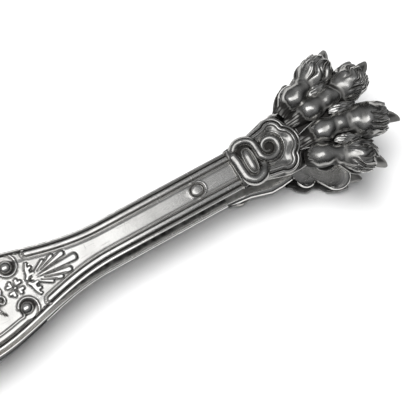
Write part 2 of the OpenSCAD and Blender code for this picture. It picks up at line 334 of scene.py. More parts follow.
def oxide_and_shade_group():
    """Dark oxide that gathers in the recesses and is polished off the highs; the same mask darkens
    steep sides and other set places as painted shade and lightens some as painted highlights, and
    the highs' lighter colour is partly a painted highlight.
    """
    tree, given, made = new_group(
        "oxide_and_painted_shade",
        [("Clean Depth", 0.0), ("Dark Depth", 0.1), ("Breakup", 0.05)],
        [("Oxide And Shade", "NodeSocketFloat"), ("Polish And Highlight", "NodeSocketFloat")],
    )
    recess_shade_and_highlight = tree.nodes.new("ShaderNodeAttribute")
    recess_shade_and_highlight.attribute_name = "recess_shade_and_highlight"
    patches = maths(tree, "SUBTRACT", noise_node(tree, 900, 4), 0.5)
    shifted = maths(tree, "MULTIPLY_ADD", patches, given.outputs["Breakup"], recess_shade_and_highlight.outputs["Fac"])
    oxide = ranged(tree, shifted, given.outputs["Clean Depth"], given.outputs["Dark Depth"])
    tree.links.new(oxide, made.inputs["Oxide And Shade"])
    polish = ranged(tree, maths(tree, "MULTIPLY", shifted, -1.0), 0.0, given.outputs["Dark Depth"])
    tree.links.new(polish, made.inputs["Polish And Highlight"])
    return tree


def wear_group():
    """Fine scratches, handling marks and cloudy tarnish on silver."""
    tree, _, made = new_group(
        "handling_wear",
        [],
        [(label, "NodeSocketFloat") for label in ("Scratches", "Tarnish", "Height")],
    )
    along = ranged(tree, noise_node(tree, 500, 3, (0.35, 6, 1)), 0.6, 0.72)
    across = ranged(tree, noise_node(tree, 420, 3, (5, 0.5, 1)), 0.64, 0.74)
    scratches = maths(tree, "MAXIMUM", along, across)
    tree.links.new(scratches, made.inputs["Scratches"])
    tree.links.new(ranged(tree, noise_node(tree, 110, 5), 0.35, 0.75), made.inputs["Tarnish"])
    grain = noise_node(tree, 2600, 2)
    tree.links.new(maths(tree, "MULTIPLY_ADD", scratches, -0.5, grain), made.inputs["Height"])
    return tree


def mixed(tree, factor, first, second):
    """A colour mixed from two colours or colour sockets."""
    node = tree.nodes.new("ShaderNodeMix")
    node.data_type = "RGBA"
    tree.links.new(factor, node.inputs["Factor"])
    for label, value in (("A", first), ("B", second)):
        socket = [s for s in node.inputs if s.name == label and s.type == "RGBA"][0]
        if isinstance(value, bpy.types.NodeSocket):
            tree.links.new(value, socket)
        else:
            socket.default_value = (*value, 1)
    return [s for s in node.outputs if s.type == "RGBA"][0]


EDGE_TINT = (0.4, 0.4, 0.39)
# How far tarnish and polish tint the metal, and how far full oxide takes the metal's look away; the
# polish tint also paints highlights, and the oxide also paints shade
TARNISH_TINT, POLISH_AND_HIGHLIGHT_TINT, OXIDE_AND_SHADE_COVER = 0.6, 0.6, 0.75
# What each finish adds to the roughness
SCRATCH_ROUGH, TARNISH_ROUGH, OXIDE_ROUGH, POLISH_ROUGH = 0.1, 0.06, 0.25, -0.1
GRAIN_STRENGTH = 0.25


def silver(name, colours, depths, rough, grain):
    """Silver with oxide in its recesses; the oxide's colour also paints shade on steep sides and at
    places set in each piece's mask, and the highs' colour also paints highlights.

    The colours are the metal's, its highs', its tarnish's and its oxide's. The depths are where
    the oxide starts and where it is full; they and the grain are in millimetres.
    """
    if name in bpy.data.materials:
        return bpy.data.materials[name]
    metal, shine, tarnish, oxide = colours
    groups = bpy.data.node_groups
    material = bpy.data.materials.new(name)
    material.use_nodes = True
    tree = material.node_tree
    shader = tree.nodes["Principled BSDF"]
    dark = tree.nodes.new("ShaderNodeGroup")
    dark.node_tree = groups.get("oxide_and_painted_shade") or oxide_and_shade_group()
    dark.inputs["Clean Depth"].default_value, dark.inputs["Dark Depth"].default_value = depths
    dark.inputs["Breakup"].default_value = depths[1] * 0.5
    wear = tree.nodes.new("ShaderNodeGroup")
    wear.node_tree = groups.get("handling_wear") or wear_group()
    clouded = maths(tree, "MULTIPLY", wear.outputs["Tarnish"], TARNISH_TINT)
    # The highs' colour comes in where the mask rises above its neighbourhood: partly real polish,
    # partly a painted highlight
    polished = maths(tree, "MULTIPLY", dark.outputs["Polish And Highlight"], POLISH_AND_HIGHLIGHT_TINT)
    clean = mixed(tree, polished, mixed(tree, clouded, metal, tarnish), shine)
    # The oxide colour comes in with the mask: real oxide in recesses, and painted shade on steep
    # sides and at set places
    tree.links.new(mixed(tree, dark.outputs["Oxide And Shade"], clean, oxide), shader.inputs["Base Color"])
    bare = maths(tree, "MULTIPLY_ADD", dark.outputs["Oxide And Shade"], -OXIDE_AND_SHADE_COVER, 1.0)
    tree.links.new(bare, shader.inputs["Metallic"])
    scuffed = maths(tree, "MULTIPLY_ADD", wear.outputs["Scratches"], SCRATCH_ROUGH, rough)
    cloudy = maths(tree, "MULTIPLY_ADD", wear.outputs["Tarnish"], TARNISH_ROUGH, scuffed)
    dulled = maths(tree, "MULTIPLY_ADD", dark.outputs["Oxide And Shade"], OXIDE_ROUGH, cloudy)
    rubbed = maths(tree, "MULTIPLY_ADD", dark.outputs["Polish And Highlight"], POLISH_ROUGH, dulled)
    tree.links.new(rubbed, shader.inputs["Roughness"])
    shader.inputs["Specular Tint"].default_value = (*EDGE_TINT, 1)
    bump = tree.nodes.new("ShaderNodeBump")
    bump.inputs["Strength"].default_value = GRAIN_STRENGTH
    bump.inputs["Distance"].default_value = grain * MM
    tree.links.new(wear.outputs["Height"], bump.inputs["Height"])
    tree.links.new(bump.outputs["Normal"], shader.inputs["Normal"])
    return material


def bright_silver(look):
    """Polished silver of the arms and the bow."""
    colours = look.bright, look.shine, look.tarnish, look.oxide
    return silver("polished_arm_silver", colours, depths=(0.055, 0.16), rough=0.2, grain=0.02)


def cast_silver(look):
    """Chased silver of the cuffs, the knots and the paws."""
    colours = look.cast, look.shine, look.tarnish, look.oxide
    return silver("chased_cast_silver", colours, depths=(0.0, 0.1), rough=0.24, grain=0.03)


def talon_silver(look):
    """Dark silver of the claws."""
    colours = look.talon, look.talon, look.oxide, look.oxide
    return silver("dark_talon_silver", colours, depths=(0.03, 0.14), rough=0.48, grain=0.04)


# Arms and bow, in millimetres

SHOULDER_LEN, FLARE_POWER = 6.0, 1.15
BOW_W, BOW_T, THICKENING_DEG = 12.6, 1.6, (50, 90)
FLEX_HALF_GAP, CUFF_LAP = 0.06, 0.5
ARM_EASING, UNDER_POINTS = 60, 61
# Steps between the arm's stations, and how far from their middles the fine ones reach
PLAIN_STEP, CHASED_STEP, PUNCHED_STEP = 0.7, 0.14, 0.11
CHASED_HALF, PUNCHED_HALF = 27, 2.2
# Moulded edge: distances in from the edge, each with its level as a share of the thickness
EDGE_BAND = 2.8
EDGE_LEVELS = (
    (0, 0.46), (0.06, 0.58), (0.36, 0.59), (0.42, 0.48),
    (0.64, 0.44), (0.86, 0.5), (0.95, 0.67), (2.3, 0.7),
)
FIELD_CROWN, FIELD_START, FIELD_FULL = 0.06, 2.0, 2.9
# Reed, its groove, its fillet and the fillet's line; heights and depths are shares of the thickness
REED_IN, REED_HALF, REED_HIGH, REED_STOP = 1.34, 0.4, 0.16, 17.4
GROOVE_HALF, GROOVE_DEPTH = 0.09, 0.07
FILLET_OFF, FILLET_HALF, FILLET_HIGH = 0.78, 0.16, 0.1
LINE_OFF, LINE_HALF, LINE_DEPTH = 0.25, 0.065, 0.06
# Where the hand never polishes, oxide in each edge's cove; painted shade darkens the arm's back
# between two places past the shoulder
COVE_IN, COVE_HALF, COVE_SHELTER = 0.66, 0.19, 0.11
BACK_SHADE, BACK_BRIGHT_TO, BACK_DARK_FROM = 0.14, 4, 22
# Struck shoulder: along (q) from its middle, and across from the arm's middle
BORDER_IN, BORDER_END = 0.8, 11.4
INNER_IN, INNER_END, INNER_HOOK = 2.2, 10.6, ((11.7, 5.5), (12.0, 4.9))
BEAD_Q, BEAD_Y, BEAD_R, BEAD_HIGH = 12.96, 4.25, 1.2, 0.85
VOLUTE_R, VOLUTE_DEG = (2.6, 1.62), (112, -160)
ROSETTE_Q, PETAL_LOBES = 12.8, ((1.22, 0.66), (0.66, 1.22))
FAN_Q = 16.1
# Palmette leaves: each tip along and across, and the radius of its round end
LEAVES = ((24.9, 0.0, 0.88), (23.2, 1.66, 0.68), (21.3, 2.15, 0.54), (19.4, 2.1, 0.46))
LEAF_ROOT_R, LEAF_HIGH = 0.1, 0.26
PARTING_START, PARTING_HALF = 0.4, 0.075
PUNCH_X, PUNCH_HALF, PUNCH_FIELD = 34.55, (1.62, 1.42), 2.4


class ArmLine:
    """The arm's plan and levels, taken from the panel's sizes and the frame's boxes."""

    def __init__(self, sizes):
        self.thick = sizes.arm_thickness / MM
        self.neck_w = sizes.neck_width / MM
        self.shoulder_w = sizes.shoulder_width / MM
        self.mid = sizes.shoulder_place / MM
        self.flare = sizes.flare_length / MM
        self.fall = HALF_H - self.thick - NECK_BACK
        self.reach = math.hypot(self.fall, CUFF_X - BOW_X)
        self.tilt = math.atan2(self.fall, CUFF_X - BOW_X)

    def half_w(self, x):
        """Half the arm's width, x along it."""
        off = np.abs(x - self.mid) - SHOULDER_LEN / 2
        to_paw = x > self.mid
        run = np.where(to_paw, self.flare, self.mid - SHOULDER_LEN / 2)
        end_w = np.where(to_paw, self.neck_w, BOW_W)
        swell = smooth(0, 1, np.clip(1 - off / run, 0, 1) ** FLARE_POWER)
        return (end_w + (self.shoulder_w - end_w) * swell) / 2

    def tilted(self, x, y, h):
        """Lays flat arm points (x along, h above the back) at the arm's slope."""
        c, s = math.cos(self.tilt), math.sin(self.tilt)
        out = HALF_H - self.thick - x * s + h * c
        return np.stack([BOW_X + x * c + h * s, y, out], axis=-1)


def moulding(inset, a, w, thick):
    """The moulding without its reeds: bevelled edge, ground and a slightly crowned field."""
    rise = np.interp(inset, *np.transpose(EDGE_LEVELS))
    crown = FIELD_CROWN * (1 - (a / w) ** 2) * smooth(FIELD_START, FIELD_FULL, inset)
    return (rise + crown) * thick


def reeding(inset, past_stop, thick):
    """The reed, and the fillet that wraps round its end; past_stop is negative along the reed."""
    off = np.where(past_stop > 0, np.hypot(past_stop, inset - REED_IN), np.abs(inset - REED_IN))
    inner = (inset > REED_IN) | (past_stop > 0)
    groove = GROOVE_DEPTH * bell(off - REED_HALF - GROOVE_HALF, GROOVE_HALF)
    reed = REED_HIGH * flat(off, REED_HALF) - groove
    fillet = FILLET_HIGH * plump(off - FILLET_OFF, FILLET_HALF) * inner
    line = -LINE_DEPTH * bell(off - FILLET_OFF - LINE_OFF, LINE_HALF) * inner
    return (reed + fillet + line) * thick


def palmette(relief):
    """Leaves that fan out from one root, each with a swollen, round end, parted by fine lines."""
    root = np.array([FAN_Q, 0.0])
    for tip_q, tip_a, end_r in LEAVES:
        tip = np.array([tip_q, tip_a])
        bend = root + (tip - root) * 0.5 + np.array([0.0, 0.06 * tip_a])
        leaf = spline([root, bend, tip], 8)
        swell = np.linspace(0, 1, len(leaf)) ** 0.9
        for mirrored in ((1, 1), (1, -1)):
            relief.rib(leaf * mirrored, LEAF_ROOT_R + (end_r - LEAF_ROOT_R) * swell, LEAF_HIGH)
    for (tip_q, tip_a, _), (next_q, next_a, _) in zip(LEAVES, LEAVES[1:]):
        notch = np.array([tip_q + next_q, tip_a + next_a]) / 2
        relief.part(root + PARTING_START * (notch - root), notch, PARTING_HALF)


def calyx(relief):
    """Two lobed leaves that curl outwards under the fan."""
    leaf = spline([(15.5, 0.45), (16.05, 1.2), (16.2, 2.1), (16.45, 3.15)], 6)
    half = np.interp(np.linspace(0, 1, len(leaf)), [0, 0.4, 0.7, 1], [0.46, 0.62, 0.52, 0.22])
    relief.rib(leaf, half, 0.28)
    relief.rib([(16.3, 0.95), (16.95, 0.85)], (0.5, 0.46), 0.3)
    relief.rib([(16.5, 2.05), (16.9, 2.1)], (0.45, 0.4), 0.3)
    relief.rib([(16.45, 2.9), (16.7, 3.1)], (0.3, 0.28), 0.28)


def rosette(relief):
    """Four petals, each of two lobes, about a small bead."""
    for along in (-1, 1):
        for lobe_q, lobe_a in PETAL_LOBES:
            lobe = [(ROSETTE_Q + 0.5 * along, 0.5), (ROSETTE_Q + lobe_q * along, lobe_a)]
            relief.rib(lobe, (0.3, 0.46), 0.24)
    relief.rib([(ROSETTE_Q - 0.05, 0), (ROSETTE_Q + 0.05, 0)], 0.4, 0.3)


def cartouche(relief):
    """The oval at the shoulder's middle, and the husk and curls beside it."""
    relief.rib(spiral((9.4, 1.0), 0.95, 0.35, -90, 250, 20), 0.26, 0.4)
    curl = spline([(8.6, 0.3), (8.2, 1.6), (8.5, 2.8), (9.1, 3.7)], 6)
    relief.rib(curl, np.linspace(0.3, 0.14, len(curl)), 0.42)
    relief.rib([(15.3, 6.1), (15.9, 5.75)], (0.3, 0.2), 0.3)
    oval = np.radians(np.linspace(-100, 100, 36))
    for half_q, half_a, half, high in ((6.0, 3.9, 0.32, 0.36), (5.0, 3.0, 0.14, 0.16)):
        relief.rib(np.column_stack([half_q * np.cos(oval), half_a * np.sin(oval)]), half, high)


def shoulder_relief(q, a, edge):
    """The struck ornament of half a shoulder; edge gives the arm's half width at places along q."""
    relief = Relief(q, a)
    border_q, inner_q = np.linspace(0, BORDER_END, 24), np.linspace(0, INNER_END, 20)
    border = np.column_stack([border_q, edge(border_q) - BORDER_IN])
    volute = spiral((BEAD_Q, BEAD_Y), *VOLUTE_R, *VOLUTE_DEG)
    relief.rib(np.concatenate([border, volute]), 0.3, 0.36)
    inner = np.column_stack([inner_q, edge(inner_q) - INNER_IN])
    relief.rib(np.concatenate([inner, INNER_HOOK]), 0.22, 0.26)
    relief.rib([[BEAD_Q - 0.02, BEAD_Y], [BEAD_Q + 0.02, BEAD_Y]], BEAD_R, BEAD_HIGH, dome)
    for ornament in (palmette, calyx, rosette, cartouche):
        ornament(relief)
    return relief.height() * smooth(0.5, 0.95, edge(q) - a)


def blank_punch(x, y):
    """An oval punch with a bare floor, struck on the neck's field."""
    d = np.hypot(x / PUNCH_HALF[0], y / PUNCH_HALF[1])
    floor = -0.2 * (1 - smooth(0.78, 0.92, d))
    return floor + 0.12 * plump(d, 0.68) - 0.34 * bell(d - 0.84, 0.11) + 0.1 * bell(d - 1.1, 0.1)


def strip_columns(w):
    """Places across the strip for every station: close together over the moulded edges."""
    band = np.concatenate([[0, 0.025, 0.06, 0.12], np.linspace(0.2, EDGE_BAND, 46)])
    field = np.linspace(1, -1, 77)[1:-1]
    return np.column_stack([
        w[:, None] - band, (w[:, None] - EDGE_BAND) * field, -(w[:, None] - band[::-1])
    ])


def strip_rings(w, thick, top):
    """Rings round a strip: its top, the rounded lower edges and the plain back."""
    y = strip_columns(w)
    share = np.linspace(-1, 1, UNDER_POINTS)
    under_y = share * w[:, None]
    under_h = 0.16 * smooth(0.94, 1, np.abs(share)) * np.broadcast_to(thick, w.shape)[:, None]
    return np.concatenate([y, under_y], axis=1), np.concatenate([top(y), under_h], axis=1)


def strip_patina_and_shade(w, y, shaded_back):
    """Oxide in each edge's cove, which the hand never polishes, and, where the last argument is 1,
    painted shade on the back.
    """
    cove = COVE_SHELTER * bell(w[:, None] - np.abs(y) - COVE_IN, COVE_HALF)
    # Painted shade on the arm's back
    cove[:, -UNDER_POINTS:] = BACK_SHADE * np.broadcast_to(shaded_back, w.shape)[:, None]
    return cove.ravel()


def arm_stations(line, punch):
    """Places along the arm, close together over the struck shoulder and the punch."""
    x = [FLEX_HALF_GAP]
    while x[-1] < line.reach + CUFF_LAP:
        step = PLAIN_STEP
        if abs(x[-1] - punch) < PUNCHED_HALF:
            step = PUNCHED_STEP
        elif abs(x[-1] - line.mid) < CHASED_HALF:
            step = CHASED_STEP
        x.append(x[-1] + step)
    return np.array(x)


def arm_skin(line):
    """The struck arm, from the flexing line to just inside the cuff."""
    punch = (PUNCH_X - BOW_X) / math.cos(line.tilt)
    x = arm_stations(line, punch)
    w = line.half_w(x)

    def top(y):
        q = np.repeat((x - line.mid)[:, None], y.shape[1], axis=1)
        a, half = np.abs(y), w[:, None]
        high = moulding(half - a, a, half, line.thick)
        high += reeding(half - a, REED_STOP - np.abs(q), line.thick)
        for way in (-1, 1):
            there = way * q[:, 0] > 0
            edge = lambda along: line.half_w(line.mid + way * np.asarray(along))
            high[there] += shoulder_relief(np.abs(q[there]), a[there], edge)
        near = np.abs(x - punch) < PUNCH_FIELD
        high[near] += blank_punch((x[near] - punch)[:, None], y[near])
        return high

    y, h = strip_rings(w, line.thick, top)
    # Painted shade on the arm's back past the shoulder, which the other arm shades
    shaded_back = smooth(line.mid + BACK_BRIGHT_TO, line.mid + BACK_DARK_FROM, x)
    patina_shade_and_highlight = strip_patina_and_shade(w, y, shaded_back)
    return loft(line.tilted(np.repeat(x[:, None], y.shape[1], axis=1), y, h)), patina_shade_and_highlight


def bow_skin(line):
    """Half of the bow, from its crown to the flexing line, where it is as thick as the arm."""
    turn = np.radians(np.linspace(0, 90, 46))
    thick = BOW_T + (line.thick - BOW_T) * smooth(*THICKENING_DEG, np.degrees(turn))
    w = np.full(len(turn), BOW_W / 2)

    def top(y):
        inset = w[:, None] - np.abs(y)
        plain = moulding(inset, np.abs(y), w[:, None], thick[:, None])
        return plain + reeding(inset, np.full_like(y, -1.0), thick[:, None])

    y, h = strip_rings(w, thick, top)
    r = HALF_H - thick[:, None] + h
    x = BOW_X - r * np.cos(turn)[:, None] + FLEX_HALF_GAP
    rings = np.stack([x, y, r * np.sin(turn)[:, None]], axis=-1)
    return loft(rings), strip_patina_and_shade(w, y, 0.0)


# Cuff and knot, in millimetres; the cuff's and the shield's places are taken from the cuff's front

CUFF_FRONT, CUFF_LEVEL = 0.2, 12.25
# Its top falls towards the sides and droops at the front; its underside lifts at the back
SIDE_FALL, FRONT_DROOP, DROOP_FROM = 1.4, 0.5, -2.5
BACK_LIFT, BACK_LIFT_LEN = 0.85, 4
UNDER_EDGE = ((0.85, 0), (0.96, 0.3), (1, 0.9))
# Half widths of the cuff: at its back, and at places towards its front
CUFF_BACK_HALF = 4.15
CUFF_HALVES = ((-9.5, 4.7), (-5, 5.95), (-2.5, 5.9), (0.2, 5.6))
SHIELD_LOBES = ((-3.9, 0.0, 3.75), (-4.75, 3.1, 2.75), (-4.75, -3.1, 2.75))
SHIELD_BACK, SHIELD_NECK = -13.5, (-12.5, 4.2, 0.18)
SHIELD_RISE, SHIELD_SIDE_RISE, SHIELD_STEP = 0.9, 0.5, 0.3
# Shield border, inwards from its outline: two ribs with a seam between them, then the hollow field
BORDER_FADE = (-10.6, -9.6)
SHIELD_RIBS, RIB_HIGH = ((0.36, 0.34), (1.22, 0.38)), 0.42
SEAM_IN, SEAM_HALF, SEAM_DEPTH = 0.78, 0.09, 0.16
HOLLOW_START, HOLLOW_FULL, HOLLOW_DEPTH = 1.5, 2.7, 0.45
HALO_R, HALO_HALF, HALO_HIGH = 3.15, 0.18, 0.35
# Ground under the knot, darkened as painted shade; the shield's field, lightened as a painted
# highlight; the cuff's underside, a little lighter
LOOP_FOOT, SCROLL_FOOT = (2.9, 4.4), 2.5
KNOT_SHADE, UNDER_SHELTER, FIELD_HIGHLIGHT = 0.13, -0.03, 0.06
KNOT_LEVEL, STRAP_HALF, HOOK_HALF, STRAP_HIGH = 12.8, 0.95, 1.15, 1.1
OVER_STRAP = ((43.9, 3.0), (45.3, 4.0), (47.0, 3.85), (48.1, 2.9), (48.35, 1.5))
HOOK_STRAP = (
    (43.0, 3.8), (43.5, 2.5), (43.85, 0.9), (43.95, -1.1), (44.25, -2.7),
    (45.5, -3.75), (47.1, -3.5), (48.2, -2.4), (48.6, -1.4),
)
# Scroll: its eye, the angle at which it starts, and its radius after so many degrees
SCROLL_EYE, SCROLL_START = (50.6, 0.6), 200
SCROLL_TURNS = (
    (0, 2.3), (90, 1.98), (180, 1.88), (250, 1.6), (310, 1.2), (370, 0.85), (440, 0.55)
)
COLLAR_IN, COLLAR_REACH, COLLAR_HALF, COLLAR_HIGH = 0.22, 4.05, 0.42, 0.8
LOOP_X, BOSS_LEVEL, BOSS_HALF, BOSS_HIGH = 46.2, KNOT_LEVEL + 0.1, (0.95, 2.35), 0.75
BOSS_RING_AT, BOSS_RING_HALF, BOSS_RING_HIGH = (1.05, 2.5), 0.24, 0.5


def in_shield(x, y):
    """Above 0 inside the shield's outline: a tapered neck and three lobes."""
    start, half, slope = SHIELD_NECK
    inside = np.minimum(SHIELD_LOBES[1][0] - x, half + slope * (x - start) - np.abs(y))
    for lobe_x, lobe_y, lobe_r in SHIELD_LOBES:
        inside = np.maximum(inside, lobe_r - np.hypot(x - lobe_x, y - lobe_y))
    return inside


def shield_depth(x, y):
    """How far inside the shield's outline a point lies; 0 outside it."""
    turn = np.linspace(0, 2 * np.pi, 240)
    start, half, slope = SHIELD_NECK
    neck_x = np.linspace(SHIELD_BACK, SHIELD_LOBES[1][0], 60)
    neck_y = half + slope * (neck_x - start)
    lobes = [(lx + r * np.cos(turn), ly + r * np.sin(turn)) for lx, ly, r in SHIELD_LOBES]
    rim_x, rim_y = np.concatenate([*lobes, (neck_x, neck_y), (neck_x, -neck_y)], axis=1)
    outer = in_shield(rim_x, rim_y) < 0.02
    depth = np.full(x.shape, 99.0)
    for px, py in zip(rim_x[outer], rim_y[outer]):
        depth = np.minimum(depth, np.hypot(x - px, y - py))
    return np.where(in_shield(x, y) > 0, depth, 0.0)


def cuff_skin():
    """The flared cuff with its shield, whose lobed border is a double rib."""
    back, low = CUFF_X - WRIST_X, CUFF_LOW[2] - MID_Z
    along = np.linspace(back, CUFF_FRONT, 170)
    half = np.interp(along, *np.transpose([(back, CUFF_BACK_HALF), *CUFF_HALVES]))[:, None]
    share = np.linspace(1, -1, 161)
    share = share * (1.25 - 0.25 * np.abs(share))
    across = np.linspace(-1, 1, UNDER_POINTS)
    ring_x = np.repeat(along[:, None], len(share) + UNDER_POINTS, axis=1)
    ring_y = half * np.concatenate([share, across])
    over, below = np.s_[:, :len(share)], np.s_[:, len(share):]
    x, y = ring_x[over], ring_y[over]
    inside = shield_depth(x, y)
    fall = (y / half) ** 4
    level = CUFF_LEVEL - SIDE_FALL * fall - FRONT_DROOP * smooth(DROOP_FROM, 0, x)
    step = smooth(0, SHIELD_STEP, inside)
    rise = SHIELD_RISE * step + SHIELD_SIDE_RISE * fall * step
    ribs = sum(RIB_HIGH * plump(inside - rib_in, rib_half) for rib_in, rib_half in SHIELD_RIBS)
    seam = -SEAM_DEPTH * bell(inside - SEAM_IN, SEAM_HALF)
    hollow = -HOLLOW_DEPTH * smooth(HOLLOW_START, HOLLOW_FULL, inside)
    from_eye = np.hypot(WRIST_X + ring_x - SCROLL_EYE[0], ring_y - SCROLL_EYE[1])
    halo = HALO_HIGH * plump(from_eye[over] - HALO_R, HALO_HALF) * smooth(1.5, 1.8, inside)
    top = level + rise + (ribs + seam + hollow + halo) * smooth(*BORDER_FADE, x)
    lift = BACK_LIFT * (1 - smooth(back, back + BACK_LIFT_LEN, along))[:, None]
    under = low + lift + np.interp(np.abs(across), *np.transpose(UNDER_EDGE))
    from_loop = np.hypot((WRIST_X + ring_x - LOOP_X) / LOOP_FOOT[0], ring_y / LOOP_FOOT[1])
    beside = smooth(0.8, 1.05, np.minimum(from_loop, from_eye / SCROLL_FOOT))
    # Painted shade on the ground under the knot; a painted highlight lightens the shield's field
    # beside it; the underside is a little lighter
    patina_shade_and_highlight = KNOT_SHADE * (1 - beside)
    patina_shade_and_highlight[over] -= FIELD_HIGHLIGHT * (beside[over] * smooth(1.5, 2.2, inside))
    patina_shade_and_highlight[below] = UNDER_SHELTER
    rings = np.stack([WRIST_X + ring_x, ring_y, np.concatenate([top, under], axis=1)], axis=-1)
    return loft(rings), patina_shade_and_highlight.ravel()


def strap_skin(path, lift, half, high):
    """A round-backed strap swept along a plan path; its sizes may change along it."""
    lift, half, high = (np.broadcast_to(size, len(path))[:, None] for size in (lift, half, high))
    ahead = np.gradient(path, axis=0)
    ahead /= np.linalg.norm(ahead, axis=1)[:, None]
    left = np.column_stack([-ahead[:, 1], ahead[:, 0]])
    turn = np.linspace(-0.5, 0.5, 37) * np.pi
    profile_c = np.concatenate([np.sin(turn), [0.9, 0.0, -0.9]])
    profile_h = np.concatenate([np.cos(turn) ** 1.1, [-0.6, -0.6, -0.6]])
    plan = path[:, None, :] + left[:, None, :] * (half * profile_c)[..., None]
    out = lift + high * profile_h
    return loft(np.concatenate([plan, out[..., None]], axis=2))


def even_path(path, count):
    """The same path with evenly spaced points, and each point's share of its length."""
    step = np.concatenate([[0], np.cumsum(np.linalg.norm(np.diff(path, axis=0), axis=1))])
    even = np.linspace(0, step[-1], count)
    return np.column_stack([np.interp(even, step, path[:, k]) for k in (0, 1)]), even / even[-1]


def squared(wave):
    """A sine or cosine with fuller shoulders, which squares an oval's corners a little."""
    return np.sign(wave) * np.abs(wave) ** 0.75


def boss_skin():
    """The domed oval boss, with full ends."""
    half_x, half_y = BOSS_HALF
    u = np.linspace(0.02, 0.98, 44)[:, None] * np.pi
    v = np.linspace(0, 2 * np.pi, 72, endpoint=False)
    wide = squared(np.sin(u))
    y = half_y * squared(np.cos(u)) + 0 * v
    out = BOSS_LEVEL + BOSS_HIGH * wide * np.cos(v)
    return loft(np.stack([LOOP_X + half_x * wide * np.sin(v), y, out], axis=-1))


def knot_skin():
    """A strap over the boss into a scroll, one hooked under it, the boss and the arm's collar."""
    winding, radius = spline(SCROLL_TURNS, 14).T
    winding = np.radians(SCROLL_START + winding)
    curl = SCROLL_EYE + radius[:, None] * np.column_stack([np.cos(winding), np.sin(winding)])
    over = spline([*OVER_STRAP, curl[0], curl[4]], 14)[:-15]
    path, share = even_path(np.concatenate([over, curl]), 260)
    half = STRAP_HALF * (1 - 0.65 * smooth(0.74, 1.02, share))
    rooted = KNOT_LEVEL - 0.7 * (1 - smooth(0, 0.14, share))
    lift = rooted + 0.25 * bell(share - 0.4, 0.1) - 0.3 * smooth(0.75, 1, share)
    scrolled = strap_skin(path, lift, half, STRAP_HIGH * half / STRAP_HALF)
    path, share = even_path(spline(HOOK_STRAP, 14), 160)
    half = HOOK_HALF * (0.3 + 0.7 * smooth(0, 0.14, share))
    lift = KNOT_LEVEL - 0.7 * smooth(0.8, 1, share)
    hooked = strap_skin(path, lift, half, STRAP_HIGH * half / HOOK_HALF)
    across = np.linspace(-1, 1, 60)
    collar = np.column_stack([CUFF_X + COLLAR_IN + 0.1 * across**2, COLLAR_REACH * across])
    band = strap_skin(collar, KNOT_LEVEL - 0.9 - 0.9 * across**4, COLLAR_HALF, COLLAR_HIGH)
    turn = np.linspace(0, 2 * np.pi, 90)
    around = np.column_stack([squared(np.cos(turn)), squared(np.sin(turn))])
    border = (LOOP_X, 0) + BOSS_RING_AT * around
    ring = strap_skin(border, BOSS_LEVEL, BOSS_RING_HALF, BOSS_RING_HIGH)
    return joined(scrolled, hooked, band, ring, boss_skin())


# Paw, in millimetres; places along are taken from the cuff's front

# Each toe's line: root, first swelling, middle, ball and rim; then its claw's tip
TOES = (
    ((-1.0, 5.0, 11.4), (2.6, 6.6, 12.8), (5.4, 7.7, 13.0),
     (8.8, 9.0, 12.35), (11.1, 10.4, 11.7), (12.9, 12.3, 9.9)),
    ((-1.0, 2.6, 11.6), (4.3, 3.2, 13.1), (8.5, 3.5, 13.2),
     (13.7, 4.3, 12.1), (16.5, 5.1, 11.8), (19.3, 6.5, 10.0)),
    ((-1.0, -1.9, 11.6), (4.3, -1.6, 13.1), (8.6, -2.1, 13.2),
     (13.6, -3.9, 12.2), (16.6, -5.0, 11.8), (19.6, -6.8, 10.0)),
    ((-1.0, -4.7, 11.4), (1.6, -5.6, 12.8), (4.9, -7.2, 13.0),
     (8.3, -9.2, 12.4), (10.5, -11.3, 11.7), (12.5, -13.5, 9.9)),
)
# Swellings of each toe, radius and stretch along it; then where its fur starts on the ball
SWELLINGS = (
    ((2.4, 1.1), (1.8, 1.1), (3.4, 1.1)),
    ((2.4, 1.1), (2.0, 1.7), (3.65, 1.2)),
    ((2.4, 1.15), (2.0, 1.8), (3.55, 1.5)),
    ((2.4, 1.35), (1.75, 1.1), (3.3, 1.15)),
)
FUR_START, FUR_GROWN = (-0.9, -0.75, -0.2, -0.9), 0.75
TOE_STEPS, TOE_EASING = 40, 60
# The toe's root radius, the painted shade on its root, and the sinews' depth
TOE_ROOT_R, ROOT_SHADE, SINEW_DEPTH = 1.75, 0.085, 0.16
TOE_TOP, WORN_T, BLUNT_END = 15.97, 0.15, 1.25
# The sheath's lip turns in round the claw: how far it has shrunk, and its step forwards
SHEATH_LIP = ((0.94, 0.08), (0.86, 0.0), (0.78, -0.4), (0.5, -0.9))
# Claw: radii at its root and tip; its root and its bend, ahead of the toe's rim and above it
CLAW_R, CLAW_TIP_R = 1.45, 0.12
CLAW_ROOT, CLAW_BEND = (-0.9, 0.5), (1.7, 0.9)
PALM_X, PALM_OUT, PALM_R, PALM_T = 8.5, -17.7, 30.0, 1.2
# Palm fan: its root, half its width there, and the scallops of one side with their radius
PALM_ROOT, PALM_ROOT_HALF = np.array([0.05, 0.0]), 5.6
SCALLOPS = ((2.6, 6.4, 2.3), (8.3, 9.0, 3.25), (12.6, 4.1, 3.25))
